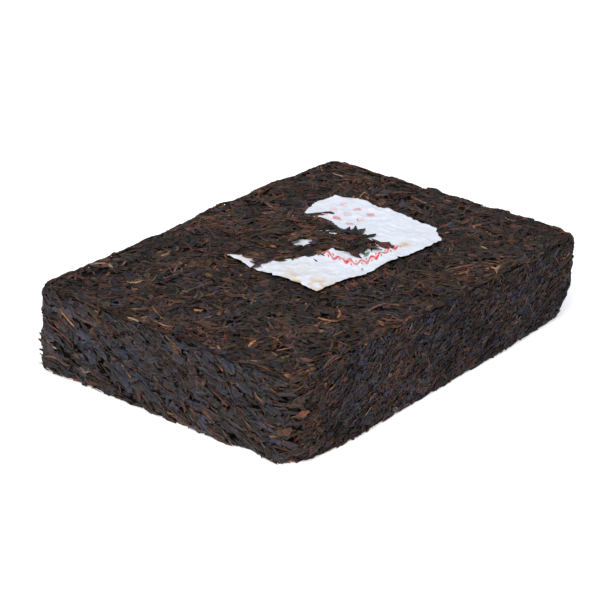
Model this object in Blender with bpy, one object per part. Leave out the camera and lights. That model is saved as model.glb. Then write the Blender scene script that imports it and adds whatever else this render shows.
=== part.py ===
"""Brick of pressed dark tea with a torn paper ticket let into its top, half covered by tea leaf.

Metres, +Z up. The origin is the middle of the brick's flat base, and X runs along its length.
The tea is one solid: a lumpy core with leaves fused to its top and walls. The ticket is a second solid
that lies in a shallow recess, under the mat of leaf that was pressed over its back half.
"""

import math
import random
from collections import namedtuple

import bmesh
import bpy
import numpy as np
from mathutils import Matrix, Vector, noise

MM = 0.001

# The brick, over its leaves.
BRICK_LENGTH = 140 * MM
BRICK_WIDTH = 103 * MM
BRICK_HEIGHT = 28 * MM
LEAF_PROUD = 0.9 * MM  # how far a pressed leaf stands out of the core
CORNER_RADII = {  # the four upright corners, by the signs of X and Y
    (-1, -1): 11 * MM,
    (-1, 1): 7 * MM,
    (1, -1): 8 * MM,
    (1, 1): 7 * MM,
}
TOP_ROUND = 2.4 * MM
FOOT_ROUND = 1.0 * MM

# The corner that is worn away at its foot, in two moves: a spot's x and y, the way it goes from above, how far, how
# far that reaches along the wall and across it, all in millimetres, and how soon it fades with height.
Wear = namedtuple("Wear", "x y way depth along across power")
WORN_CORNER = (
    Wear(60, -51.5, (0, 1), 3.2, 27, 22, 3),
    Wear(70, -51.5, (-1, 0), 2.6, 20, 15, 3),
)

# The core is cut into cells, and their corners are moved in and out by lumps about as large as a leaf.
CELL = 14 * MM
FIRST_CELL = 0.31 * CELL  # keeps the cuts off the rounded corners' own edges
LOWEST_CUT = 5.5 * MM
LUMP_SIZE = 7.5 * MM
LUMP_HEIGHT = 0.6 * MM
NOISE_GAIN = 1.6  # brings Blender's noise, which seldom passes 0.6, near to -1 to 1

# Leaves, as thin spindles: low and high limits.
LEAF_LENGTH = (9 * MM, 16 * MM)
LEAF_WIDTH = (2.8 * MM, 4.6 * MM)
LEAF_THICKNESS = (1.6 * MM, 2.2 * MM)
LEAF_SIDES = 4
LEAF_RINGS = 3
LEAF_KINDS = 8
LEAF_BEND = 1.2  # sideways, at most, as a share of the width at one length from the middle
LEAF_TWIST = 0.9  # radians over the leaf, at most
BEND_MIDDLE = 0.08  # moves a bent leaf back over its own middle
LEAF_TILT = 0.05  # of a leaf on the top, at most
LEAF_SUNK = 0.25 * MM  # some leaves lie this much deeper, at most
TOP_PITCH = 11.0 * MM
WALL_PITCH = 13.2 * MM
WALL_ROWS = (0.155, 0.385, 0.615, 0.845)  # as shares of the height
WALL_SLANT = math.radians(16)
GRID_JITTER = 0.35  # of the pitch on the top
WALL_JITTER = 0.3  # of the pitch along a row
ROW_JITTER = 1.0 * MM  # of a row's height
TOP_MARGIN = 4 * MM  # the leaves' middles stay this far from the walls
RIM_SLANT = 0.3  # rise over run of the leaves that lie along the rim
TIP_PROUD = 1.0 * MM  # how far a leaf's tip may reach past the walls
SHORTER = 0.92  # each step by which a leaf is cut until its tips fit

# The ticket: its torn outline in millimetres, anticlockwise from the corner nearest -X -Y.
TICKET_OUTLINE_MM = (
    (-19.0, -17.0),
    (-7.0, -17.4),
    (2.0, -19.8),
    (16.0, -20.6),
    (36.5, -21.8),
    (42.8, -14.0),
    (44.4, -2.0),
    (45.0, 13.0),
    (46.0, 20.5),
    (42.0, 27.0),
    (35.0, 29.2),
    (25.0, 25.6),
    (4.0, 26.4),
    (-16.0, 21.6),
    (-17.6, 9.0),
)
TICKET_CENTRE = Vector((13.0 * MM, 3.0 * MM, 0.0))
TICKET_LEVEL = BRICK_HEIGHT + 0.1 * MM
TICKET_THICKNESS = 0.25 * MM
TICKET_SIDES = {"front": (0, 4), "right": (4, 9), "back": (9, 13), "left": (13, 15)}
TICKET_CELLS = (14, 11)
TEAR_DEPTH = 0.6 * MM
TEAR_SEED = 31
TICKET_WAVE = 0.35 * MM
TICKET_WAVE_LENGTH = 21 * MM
CLEARANCE = 0.3 * MM
RECESS_GROWN = 0.9 * CLEARANCE  # the open recess, cut before the mat of leaf is laid
SLOT_GROWN = 1.1 * CLEARANCE  # the slot under the mat, cut after, a little past the recess so that no faces meet
RECESS_SHALLOWER = 0.04 * MM
RECESS_ABOVE = 8 * MM

# The leaf over the ticket: flat clumps (x, y, length, width, turn in degrees), and single leaves at its edge.
CLUMPS_MM = (
    (-10, 19.5, 22, 15, -28),
    (4, 22, 30, 16, 0),
    (3, 11, 22, 15, -38),
    (19, 23, 20, 15, 0),
    (15, 8, 20, 26, 0),
    (16, -4, 13, 14, 20),
)
CLUMP_SIDES = 9
CLUMP_THICKNESS = 2.4 * MM
CLUMP_SUNK = 0.35 * MM
EDGE_LIFT = 0.35 * MM
EDGE_LEAVES_MM = (  # (x, y, length, width, turn in degrees)
    (20.4, -9.6, 11, 3.2, -66),
    (11.0, -8.6, 11, 3.2, -35),
    (24.6, -3.4, 8, 3.0, -38),
    (26.4, 3.4, 9, 3.6, -20),
    (24.5, 11.5, 10, 3.0, -80),
    (27.5, 20.0, 10, 2.8, -30),
    (6.5, -3.4, 11, 3.0, -50),
    (-2.0, 4.2, 11, 3.0, 150),
    (-9.5, 9.6, 12, 2.8, 155),
    (-15.0, 14.5, 9, 2.8, 120),
    (15.5, -9.0, 10, 3.0, -75),
)
COVER_LEAVES = 16
COVER_SPREAD = 0.33  # of a clump's length and width
COVER_TOP = BRICK_HEIGHT + 1.5 * MM

TEA_COLOUR = (0.032, 0.021, 0.017)
PAPER_COLOUR = (0.76, 0.81, 0.87)

RANDOM = random.Random(608)


def clear_scene():
    for old in list(bpy.data.objects):
        bpy.data.objects.remove(old, do_unlink=True)


def new_collection(name):
    made = bpy.data.collections.new(name)
    bpy.context.scene.collection.children.link(made)
    return made


def new_material(name, colour, roughness):
    made = bpy.data.materials.new(name)
    made.use_nodes = True
    shader = made.node_tree.nodes["Principled BSDF"]
    shader.inputs["Base Color"].default_value = (*colour, 1.0)
    shader.inputs["Roughness"].default_value = roughness
    shader.inputs["Metallic"].default_value = 0.0
    return made


def object_from(bm, name, collection):
    mesh = bpy.data.meshes.new(name)
    bm.to_mesh(mesh)
    bm.free()
    made = bpy.data.objects.new(name, mesh)
    collection.objects.link(made)
    return made


def bake(obj):
    """Applies the object's modifiers to its mesh."""
    bpy.context.view_layer.update()
    graph = bpy.context.evaluated_depsgraph_get()
    mesh = bpy.data.meshes.new_from_object(obj.evaluated_get(graph))
    obj.modifiers.clear()
    obj.data = mesh


def boolean(obj, operation, other):
    """Joins a collection to the object, or cuts one object from it, and removes what was used."""
    modifier = obj.modifiers.new(operation.title(), "BOOLEAN")
    modifier.operation = operation
    modifier.solver = "MANIFOLD"
    if isinstance(other, bpy.types.Collection):
        modifier.operand_type = "COLLECTION"
        modifier.collection = other
        used = list(other.objects)
    else:
        modifier.object = other
        used = [other]
    bake(obj)
    for spent in used:
        bpy.data.objects.remove(spent, do_unlink=True)


def keep_largest_island(obj):
    """Drops loose scraps of leaf, and fills any hollow that the joining sealed."""
    bm = bmesh.new()
    bm.from_mesh(obj.data)
    unseen = set(bm.verts)
    islands = []
    while unseen:
        reached = {unseen.pop()}
        edge = list(reached)
        while edge:
            vert = edge.pop()
            for link in vert.link_edges:
                other = link.other_vert(vert)
                if other not in reached:
                    reached.add(other)
                    edge.append(other)
        unseen -= reached
        islands.append(reached)
    islands.sort(key=len)
    for scrap in islands[:-1]:
        bmesh.ops.delete(bm, geom=list(scrap), context="VERTS")
    bm.to_mesh(obj.data)
    bm.free()


def slice_mesh(bm, normal, first, last, step):
    """Cuts the faces into bands by parallel planes."""
    for i in range(int((last - first) / step) + 1):
        geometry = bm.verts[:] + bm.edges[:] + bm.faces[:]
        at = Vector(normal) * (first + i * step)
        bmesh.ops.bisect_plane(bm, geom=geometry, plane_co=at, plane_no=normal, dist=1e-7)


def rim_edges(bm, level):
    """The edges that run round the block at one height."""
    return [
        e
        for e in bm.edges
        if all(abs(v.co.z - level) < 1e-6 for v in e.verts)
        and any(abs(f.normal.z) < 0.5 for f in e.link_faces)
    ]


def lump(point):
    """A smooth random height, from -1 to 1, with hills about LUMP_SIZE across."""
    return noise.noise(point / LUMP_SIZE) * NOISE_GAIN


def make_core(collection):
    """The block under the leaves: rounded upright corners and rims, then uneven all over but its base."""
    half_length = BRICK_LENGTH / 2 - LEAF_PROUD
    half_width = BRICK_WIDTH / 2 - LEAF_PROUD
    top = BRICK_HEIGHT - LEAF_PROUD
    bm = bmesh.new()
    size = Matrix.Diagonal((2 * half_length, 2 * half_width, top, 1))
    bmesh.ops.create_cube(bm, size=1, matrix=Matrix.Translation((0, 0, top / 2)) @ size)
    for (sign_x, sign_y), radius in CORNER_RADII.items():
        corner = Vector((sign_x * half_length, sign_y * half_width, top / 2))
        edge = min(bm.edges, key=lambda e: ((e.verts[0].co + e.verts[1].co) / 2 - corner).length)
        bmesh.ops.bevel(bm, geom=[edge], offset=radius, segments=3, profile=0.5, affect="EDGES")
    for level, rounding, segments in ((top, TOP_ROUND, 2), (0.0, FOOT_ROUND, 1)):
        bm.normal_update()
        edges = rim_edges(bm, level)
        bmesh.ops.bevel(bm, geom=edges, offset=rounding, segments=segments, profile=0.5, affect="EDGES")
    slice_mesh(bm, (1, 0, 0), FIRST_CELL - half_length, half_length, CELL)
    slice_mesh(bm, (0, 1, 0), FIRST_CELL - half_width, half_width, CELL)
    slice_mesh(bm, (0, 0, 1), LOWEST_CUT, top - TOP_ROUND, CELL)
    bm.normal_update()
    base = [f for f in bm.faces if f.normal.z < -0.99]
    bmesh.ops.dissolve_faces(bm, faces=base, use_verts=False)
    bm.normal_update()
    moves = {v: v.normal * lump(v.co) * LUMP_HEIGHT for v in bm.verts}
    for vert, move in moves.items():
        if vert.co.z < FOOT_ROUND * 1.5:
            move.z = 0
        vert.co += move
    return object_from(bm, "tea_brick", collection)


def leaf_meshes():
    """A few unit leaves: slim four-sided spindles along X, bent and twisted by different amounts."""
    meshes = []
    for kind in range(LEAF_KINDS):
        bm = bmesh.new()
        lie = Matrix.Rotation(math.pi / 2, 4, "Y")
        bmesh.ops.create_uvsphere(bm, u_segments=LEAF_SIDES, v_segments=LEAF_RINGS, radius=0.5, matrix=lie)
        bend = RANDOM.uniform(-LEAF_BEND, LEAF_BEND)
        twist = RANDOM.uniform(-LEAF_TWIST, LEAF_TWIST)
        for vert in bm.verts:
            along = vert.co.x
            vert.co = Matrix.Rotation(twist * along, 3, "X") @ vert.co
            vert.co.y += bend * (along * along - BEND_MIDDLE)
        mesh = bpy.data.meshes.new(f"leaf_kind_{kind}")
        bm.to_mesh(mesh)
        bm.free()
        meshes.append(mesh)
    return meshes


def clump_mesh():
    """A unit clump of leaf, round and flat."""
    bm = bmesh.new()
    bmesh.ops.create_uvsphere(bm, u_segments=CLUMP_SIDES, v_segments=LEAF_RINGS, radius=0.5)
    mesh = bpy.data.meshes.new("clump")
    bm.to_mesh(mesh)
    bm.free()
    return mesh


def lay_leaf(meshes, collection, at, outward, along, size):
    """One leaf at a point of a surface, flat against it: size is its length, width and thickness."""
    side = outward.cross(along).normalized()
    along = side.cross(outward).normalized()
    turn = Matrix((along, side, outward)).transposed().to_4x4()
    made = bpy.data.objects.new("leaf", RANDOM.choice(meshes))
    made.matrix_world = Matrix.Translation(at) @ turn @ Matrix.Diagonal((*size, 1))
    collection.objects.link(made)


def leaf_size():
    return tuple(RANDOM.uniform(*limits) for limits in (LEAF_LENGTH, LEAF_WIDTH, LEAF_THICKNESS))


def sunk(thickness):
    """How far the middle of a leaf lies outside the core, so that its back stands LEAF_PROUD out."""
    return LEAF_PROUD - thickness / 2 - RANDOM.uniform(0, LEAF_SUNK)


def past_wall(point):
    """How far a point lies outside the core's outline from above, which is negative inside it."""
    sign = (1 if point.x > 0 else -1, 1 if point.y > 0 else -1)
    radius = CORNER_RADII[sign]
    dx = abs(point.x) - (BRICK_LENGTH / 2 - LEAF_PROUD - radius)
    dy = abs(point.y) - (BRICK_WIDTH / 2 - LEAF_PROUD - radius)
    return math.hypot(max(dx, 0), max(dy, 0)) + min(max(dx, dy), 0) - radius


def shortened(at, along, size):
    """The leaf's size with its length cut until neither tip reaches too far past the walls."""
    length, width, thickness = size
    while length > LEAF_LENGTH[0] / 2:
        tips = (at + along * length / 2, at - along * length / 2)
        if max(map(past_wall, tips)) < TIP_PROUD:
            break
        length *= SHORTER
    return length, width, thickness


def under_ticket(x, y):
    xs, ys = zip(*TICKET_OUTLINE_MM)
    return min(xs) * MM < x < max(xs) * MM and min(ys) * MM < y < max(ys) * MM


def lay_top_leaves(meshes, collection):
    """Leaves on a jittered grid over the top, turned every way. None lies wholly under the ticket."""
    top = BRICK_HEIGHT - LEAF_PROUD
    columns = int((BRICK_LENGTH - 2 * TOP_MARGIN) / TOP_PITCH)
    rows = int((BRICK_WIDTH - 2 * TOP_MARGIN) / TOP_PITCH)
    for i in range(columns + 1):
        for j in range(rows + 1):
            x = (i - columns / 2 + RANDOM.uniform(-GRID_JITTER, GRID_JITTER)) * TOP_PITCH
            y = (j - rows / 2 + RANDOM.uniform(-GRID_JITTER, GRID_JITTER)) * TOP_PITCH
            if under_ticket(x, y):
                continue
            heading = RANDOM.uniform(0, math.pi)
            size = leaf_size()
            tilt = Vector([RANDOM.uniform(-LEAF_TILT, LEAF_TILT) for _ in "xy"] + [1]).normalized()
            near_edge = min(BRICK_LENGTH / 2 - abs(x), BRICK_WIDTH / 2 - abs(y))
            along = Vector((math.cos(heading), math.sin(heading), 0))
            if near_edge < LEAF_LENGTH[1] / 2:
                long_side = BRICK_WIDTH / 2 - abs(y) < BRICK_LENGTH / 2 - abs(x)
                along = Vector((1, RIM_SLANT, 0)) if long_side else Vector((RIM_SLANT, 1, 0))
            at = Vector((x, y, top + sunk(size[2])))
            size = shortened(at, along.normalized(), size)
            lay_leaf(meshes, collection, at, tilt, along, size)


def wall_path():
    """The core's outline from above as straight runs and arcs: (length, function of distance along it)."""
    half = Vector((BRICK_LENGTH / 2 - LEAF_PROUD, BRICK_WIDTH / 2 - LEAF_PROUD, 0))
    order = ((-1, -1), (1, -1), (1, 1), (-1, 1))
    pieces = []
    for i, sign in enumerate(order):
        radius = CORNER_RADII[sign]
        centre = Vector((sign[0] * (half.x - radius), sign[1] * (half.y - radius), 0))
        start_angle = math.pi + i * math.pi / 2
        pieces.append((radius * math.pi / 2, ("arc", centre, radius, start_angle)))
        after = order[(i + 1) % 4]
        next_radius = CORNER_RADII[after]
        direction = Vector((after[0] - sign[0], after[1] - sign[1], 0)).normalized()
        full = 2 * abs(direction.dot(half))
        end_angle = start_angle + math.pi / 2
        start = centre + radius * Vector((math.cos(end_angle), math.sin(end_angle), 0))
        pieces.append((full - radius - next_radius, ("run", start, direction, None)))
    return pieces


def wall_point(pieces, distance):
    """The point, outward normal and direction of the core's wall at a distance along its outline."""
    for length, (kind, first, second, angle) in pieces:
        if distance <= length:
            if kind == "run":
                return first + second * distance, Vector((second.y, -second.x, 0)), second.copy()
            turned = angle + distance / second
            outward = Vector((math.cos(turned), math.sin(turned), 0))
            return first + outward * second, outward, Vector((-outward.y, outward.x, 0))
        distance -= length
    return wall_point(pieces, 0.0)


def lay_wall_leaves(meshes, collection):
    """Rows of leaves round the walls, lying nearly level, as pressing leaves them."""
    pieces = wall_path()
    around = sum(length for length, _ in pieces)
    count = int(around / WALL_PITCH)
    for row, share in enumerate(WALL_ROWS):
        for i in range(count):
            distance = (i + 0.5 * (row % 2) + RANDOM.uniform(-WALL_JITTER, WALL_JITTER)) * around / count
            at, outward, along = wall_point(pieces, distance % around)
            slant = RANDOM.uniform(-WALL_SLANT, WALL_SLANT)
            along = along * math.cos(slant) + Vector((0, 0, math.sin(slant)))
            size = leaf_size()
            at = at + outward * sunk(size[2])
            at.z = share * BRICK_HEIGHT + RANDOM.uniform(-ROW_JITTER, ROW_JITTER)
            size = shortened(at, along, size)
            lay_leaf(meshes, collection, at, outward, along, size)


def ticket_wave(x, y):
    """Height of the ticket's middle over the base: the sum of two slanting sine waves, as soft creases."""
    phase = 2 * math.pi / TICKET_WAVE_LENGTH
    creases = math.sin(phase * (x + 0.35 * y)) * 0.5 + math.sin(phase * (0.6 * y - 0.4 * x) + 1.1) * 0.5
    return TICKET_LEVEL + TICKET_WAVE * creases


def outline_side(side, steps, rough):
    """One side of the ticket as steps + 1 points evenly spaced along its torn corners, ragged between them."""
    first, last = TICKET_SIDES[side]
    corners = [Vector((x, y, 0)) * MM for x, y in TICKET_OUTLINE_MM]
    corners = (corners + corners[:1])[first : last + 1]
    lengths = [(b - a).length for a, b in zip(corners, corners[1:])]
    points = []
    for k in range(steps + 1):
        left = sum(lengths) * k / steps
        i = 0
        while i < len(lengths) - 1 and left > lengths[i]:
            left -= lengths[i]
            i += 1
        run = (corners[i + 1] - corners[i]).normalized()
        bite = 0 if k in (0, steps) else rough.uniform(-TEAR_DEPTH, TEAR_DEPTH)
        points.append(corners[i] + run * left + Vector((run.y, -run.x, 0)) * bite)
    return points


def ticket_slab(name, collection, grow, below, above):
    """A slab that follows the ticket's waves, from below to above its middle, its outline grown outwards.

    It is a grid whose border lies on the torn outline. Each inner point is the two straight blends between
    opposite sides, added, less the blend of the four corners.
    """
    rough = random.Random(TEAR_SEED)
    columns, rows = TICKET_CELLS
    front = outline_side("front", columns, rough)
    right = outline_side("right", rows, rough)
    back = outline_side("back", columns, rough)[::-1]
    left = outline_side("left", rows, rough)[::-1]
    bm = bmesh.new()
    bmesh.ops.create_grid(bm, x_segments=columns, y_segments=rows, size=0.5)
    for vert in bm.verts:
        i, j = round((vert.co.x + 0.5) * columns), round((vert.co.y + 0.5) * rows)
        u, v = i / columns, j / rows
        across = left[j].lerp(right[j], u)
        along = front[i].lerp(back[i], v)
        flat = front[0].lerp(front[-1], u).lerp(back[0].lerp(back[-1], u), v)
        point = across + along - flat
        if i in (0, columns) or j in (0, rows):
            point += (point - TICKET_CENTRE).normalized() * grow
        vert.co = (point.x, point.y, ticket_wave(point.x, point.y) - below)
    bmesh.ops.triangulate(bm, faces=bm.faces[:])
    bottom = bm.faces[:]
    extruded = bmesh.ops.extrude_face_region(bm, geom=bottom, use_keep_orig=True)
    for vert in (g for g in extruded["geom"] if isinstance(g, bmesh.types.BMVert)):
        vert.co.z += below + above
    bmesh.ops.recalc_face_normals(bm, faces=bm.faces[:])
    return object_from(bm, name, collection)


def lay_cover(meshes, collection):
    """The mat over the ticket's back half: flat clumps that reach past its edges, with leaves on and round them."""
    up = Vector((0, 0, 1))
    level = TICKET_LEVEL + TICKET_THICKNESS / 2 + CLEARANCE
    for x, y, length, width, turn in CLUMPS_MM:
        heading = math.radians(turn)
        along = Vector((math.cos(heading), math.sin(heading), 0))
        size = (length * MM, width * MM, CLUMP_THICKNESS)
        at = Vector((x * MM, y * MM, level - CLUMP_SUNK))
        lay_leaf([clump_mesh()], collection, at, up, along, size)
    for x, y, length, width, turn in EDGE_LEAVES_MM:
        heading = math.radians(turn)
        along = Vector((math.cos(heading), math.sin(heading), 0))
        size = (length * MM, width * MM, LEAF_THICKNESS[1])
        at = Vector((x * MM, y * MM, level + EDGE_LIFT))
        lay_leaf(meshes, collection, at, up, along, size)
    for i in range(COVER_LEAVES):
        x, y, length, width, turn = CLUMPS_MM[i % len(CLUMPS_MM)]
        share = [RANDOM.uniform(-COVER_SPREAD, COVER_SPREAD) for _ in "xy"]
        spread = Vector((share[0] * length, share[1] * width, 0))
        spread.rotate(Matrix.Rotation(math.radians(turn), 3, "Z"))
        heading = RANDOM.uniform(0, math.pi)
        along = Vector((math.cos(heading), math.sin(heading), 0))
        size = leaf_size()
        at = Vector((x * MM + spread.x * MM, y * MM + spread.y * MM, COVER_TOP - size[2] / 2))
        lay_leaf(meshes, collection, at, up, along, size)


def wear_down(obj):
    """Draws the worn corner inwards: bell curves along each wall and across it, times a power of the depth from the
    top, so that it is most at the foot."""
    points = np.empty(len(obj.data.vertices) * 3)
    obj.data.vertices.foreach_get("co", points)
    points = points.reshape(-1, 3)
    deep = np.clip(1 - points[:, 2] / BRICK_HEIGHT, 0, 1)
    moved = np.zeros((len(points), 2))
    for spot in WORN_CORNER:
        way = np.array(spot.way)
        offset = points[:, :2] - np.array((spot.x, spot.y)) * MM
        across = offset @ way / (spot.across * MM)
        along = offset @ (-way[1], way[0]) / (spot.along * MM)
        bell = np.exp(-(across**2) - along**2)
        moved += (spot.depth * MM * bell * deep**spot.power)[:, None] * way
    points[:, :2] += moved
    obj.data.vertices.foreach_set("co", points.ravel())


def centre_on_base(objects, guide):
    """Moves the meshes level, so that the origin is the middle of the guide's box from above."""
    corners = np.array(guide.bound_box)
    middle = (corners.min(axis=0) + corners.max(axis=0)) / 2
    for obj in objects:
        obj.data.transform(Matrix.Translation((-middle[0], -middle[1], 0)))


def main():
    clear_scene()
    parts = new_collection("tea_brick_with_ticket")
    leaves = new_collection("field_leaves")
    cover = new_collection("cover_leaves")
    cutters = new_collection("cutters")
    meshes = leaf_meshes()

    brick = make_core(parts)
    lay_top_leaves(meshes, leaves)
    lay_wall_leaves(meshes, leaves)
    boolean(brick, "UNION", leaves)

    half = TICKET_THICKNESS / 2
    room = half + CLEARANCE
    recess = ticket_slab("recess", cutters, RECESS_GROWN, room - RECESS_SHALLOWER, RECESS_ABOVE)
    boolean(brick, "DIFFERENCE", recess)
    lay_cover(meshes, cover)
    boolean(brick, "UNION", cover)
    slot = ticket_slab("slot", cutters, SLOT_GROWN, room, room)
    boolean(brick, "DIFFERENCE", slot)
    keep_largest_island(brick)
    wear_down(brick)

    ticket = ticket_slab("paper_ticket", parts, 0.0, half, half)
    bpy.context.view_layer.update()
    centre_on_base((brick, ticket), brick)
    brick.data.materials.clear()
    brick.data.materials.append(new_material("dark_tea", TEA_COLOUR, 0.7))
    ticket.data.materials.append(new_material("ticket_paper", PAPER_COLOUR, 0.8))
    for spent in (leaves, cover, cutters):
        bpy.data.collections.remove(spent)


main()
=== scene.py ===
"""Brick of pressed dark tea with a torn paper ticket let into its top, half covered by leaf.

Laid out as a Blender add-on and run as a script. Metres, +Z up, the origin in the middle of the flat base
and X along the brick's length. Leaves are joined meshes laid on a rounded block, with a core under them
that is painted near black as the shade between them.
"""

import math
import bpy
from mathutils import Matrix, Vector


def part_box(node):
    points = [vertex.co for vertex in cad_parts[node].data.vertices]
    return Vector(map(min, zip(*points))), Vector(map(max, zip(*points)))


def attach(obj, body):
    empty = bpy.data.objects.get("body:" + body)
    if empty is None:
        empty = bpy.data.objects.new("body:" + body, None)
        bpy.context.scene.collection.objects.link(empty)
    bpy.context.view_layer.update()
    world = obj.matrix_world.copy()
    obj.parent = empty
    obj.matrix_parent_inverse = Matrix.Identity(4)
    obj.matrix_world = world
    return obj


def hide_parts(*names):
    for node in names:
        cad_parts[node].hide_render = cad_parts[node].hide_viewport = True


bl_info = {
    "name": "Pressed Tea Brick",
    "version": (1, 0, 0),
    "blender": (4, 5, 0),
    "location": "3D View > Sidebar > Tea Brick",
    "description": "Builds a brick of pressed dark tea leaf with a torn paper ticket",
    "category": "Add Mesh",
}

from collections import namedtuple

import bpy
import numpy as np
from mathutils import Vector

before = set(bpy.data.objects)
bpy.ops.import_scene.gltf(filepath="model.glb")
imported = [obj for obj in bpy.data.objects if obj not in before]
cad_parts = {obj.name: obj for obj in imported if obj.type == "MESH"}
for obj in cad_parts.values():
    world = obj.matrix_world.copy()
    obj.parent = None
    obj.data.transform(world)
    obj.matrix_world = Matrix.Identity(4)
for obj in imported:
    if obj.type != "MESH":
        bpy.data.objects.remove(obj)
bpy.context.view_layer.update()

MM = 0.001

# The block that the leaves are pressed to, as in the solid.
BRICK_LOW, BRICK_HIGH = map(np.array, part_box("tea_brick"))
WALL_PROUD = 0.4 * MM  # how far the solid's leaves stand out of the block's walls
HALF = (BRICK_HIGH - BRICK_LOW)[:2] / 2 - WALL_PROUD
COVER_PROUD = 1.8 * MM  # how far the leaf over the ticket stands above the brick's top
TOP = BRICK_HIGH[2] - COVER_PROUD
CORNER_RADII = {(-1, -1): 11 * MM, (-1, 1): 7 * MM, (1, -1): 8 * MM, (1, 1): 7 * MM}
TOP_ROUND = 2.4 * MM
FOOT_ROUND = 1.0 * MM

# Where the block departs from its walls, in millimetres: a spot's x and y, the way it goes, how far, how far
# that reaches along the wall and across it, and how soon it fades upwards, or downwards for a negative power.
Wear = namedtuple("Wear", "x y way depth along across power")
WEAR = (
    Wear(60, -51.5, (0, 1, 0), 3.2, 27, 22, 3),  # the worn corner, most at its foot, as in the solid
    Wear(70, -51.5, (-1, 0, 0), 2.6, 20, 15, 3),
    Wear(-70, 51.5, (-0.71, 0.71, 0.6), 1.9, 11, 10, 0.8),  # a corner that stands out and up at its foot
    Wear(-70, -34, (1, 0, 0), 2.6, 5, 6, 4),  # a chip out of the foot
    Wear(-42, -51.5, (0, -1, 0), 1.1, 16, 8, 1.5),  # a low swelling beside the front corner
    Wear(12, -51.5, (0, 1, 0), 0.9, 18, 8, 2),  # a shallow hollow after it
    Wear(25, 51.5, (0, 1, 0), 1.4, 32, 10, -1),  # the long back wall swells at its top
)

# The ticket: its torn outline in millimetres, anticlockwise from the corner nearest -X -Y.
TICKET_OUTLINE_MM = (
    (-19.0, -17.0), (-7.0, -17.4), (2.0, -19.8), (14.0, -20.4), (15.2, -20.2), (16.2, -19.0),
    (17.4, -21.0), (35.2, -21.8), (42.8, -14.0), (44.4, -2.0), (45.0, 13.0), (46.0, 20.5),
    (42.0, 27.0), (35.0, 29.2), (25.0, 25.6), (4.0, 26.4), (-16.0, 21.6), (-17.6, 9.0),
)
TICKET_SIDES = {"front": (0, 7), "right": (7, 12), "back": (12, 16), "left": (16, 18)}
TICKET_WAVE_LENGTH = 21 * MM
TICKET_LEVEL = TOP + 0.1 * MM
TICKET_ROOM = 0.9 * MM  # how far round the ticket leaf stays below it
TICKET_GAP = 0.55 * MM  # and how far below its middle
CURL_REACH = 3 * MM  # how soon the curl of its edges dies away inwards
CURL_RIPPLES = 20 * MM
CURL_CREST = 8 * MM
STAIN_SPOT = np.array((24.5, -15.2)) * MM

# Its print, in millimetres: a wavy red line that keeps its distance from a corner and ends at an x and a y,
# with dots between its waves, columns of red diamonds, and a green leaf where two circles overlap.
LINE_CORNER = (7.5, -10.5)
LINE_DISTANCE = 3.6
LINE_WAVE = 4.6
LINE_HALF = 0.75
LINE_ENDS = (23.5, -0.5)
DOT_RADIUS = 0.65
DIAMOND_COLUMNS = (27.5, 32.5, 37.5)
DIAMOND_PITCH = 5.5
DIAMOND_HALF = (1.5, 2.0)
GREEN_CIRCLES = ((10.6, -8.2), (12.6, -13.7))
GREEN_RADIUS = 3.7
INK_EDGE = 0.25

# The patch of leaf over the ticket, in millimetres, anticlockwise, and the holes in it that show the paper.
COVER_OUTLINE_MM = (
    (-17.8, 10.8), (-16.6, 8.4), (-12.6, 7.2), (-9.0, 4.4), (-3.4, 1.4), (1.2, -1.8), (5.0, -0.8),
    (8.0, -2.8), (8.6, -6.4), (10.8, -9.0), (13.8, -8.6), (16.9, -10.6), (20.6, -8.6), (21.4, -3.9),
    (23.4, -1.6), (23.9, 4.6), (21.9, 6.0), (22.3, 10.2), (24.2, 15.4), (25.4, 20.0), (24.6, 24.4),
    (26.5, 31.0), (5.0, 31.0), (-20.0, 26.0), (-16.6, 21.9), (-16.1, 19.5), (-13.8, 14.6), (-15.4, 13.0),
)
COVER_HEADING = math.radians(-50)  # most of its leaves lie this way
COVER_RIM = 3.5 * MM  # but so near its rim they lie along it
COVER_SLOPE = 5 * MM  # and it rises over this far from it
COVER_HOLES_MM = ((4.5, 8.7, 2.1), (15.8, 10.2, 0.2), (16.5, 6.4, 0.5), (24.0, 18.9, 0.7), (15.9, -1.8, 0.4))

# Single leaves that end the patch: x, y, length and width in millimetres, and turn in degrees.
EDGE_LEAVES_MM = (
    (20.7, -9.6, 10.6, 3.3, -98), (9.5, -7.4, 10.4, 2.8, -116), (12.6, -7.0, 9.0, 2.8, -114),
    (16.6, -8.0, 10.0, 2.9, -86), (14.6, -5.2, 9.0, 3.2, -100), (22.0, 0.9, 10.2, 2.7, 16),
    (21.8, 3.6, 9.4, 2.4, 13), (20.2, 5.4, 8.0, 2.2, 3), (21.6, -2.2, 7.6, 3.0, -24),
    (18.6, -4.4, 8.6, 3.0, -60), (27.6, 19.8, 7.0, 1.2, -44), (24.2, 21.6, 8.0, 2.4, -50),
    (-3.0, 4.2, 12.4, 2.1, -36), (-4.2, 6.6, 11.0, 2.5, -40), (-11.4, 9.8, 9.6, 1.9, -28),
    (-13.2, 13.6, 8.2, 2.0, -62), (-10.2, 12.6, 10.0, 2.6, -40), (6.4, 1.6, 9.4, 2.5, -40),
    (1.2, 3.4, 9.4, 2.4, -34), (21.2, 12.6, 8.6, 2.4, -108), (22.0, 16.4, 8.4, 2.6, -80),
    (9.8, -1.6, 9.0, 2.6, -58),
)
# Bits that lie loose on the paper, in the same terms.
SPECKS_MM = (
    (-2.4, -2.1, 2.3, 1.0, 70), (1.4, -17.4, 1.1, 0.8, 20),
    (17.2, -16.4, 1.0, 0.5, 10), (31.0, 8.6, 0.9, 0.5, 50),
)

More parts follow.
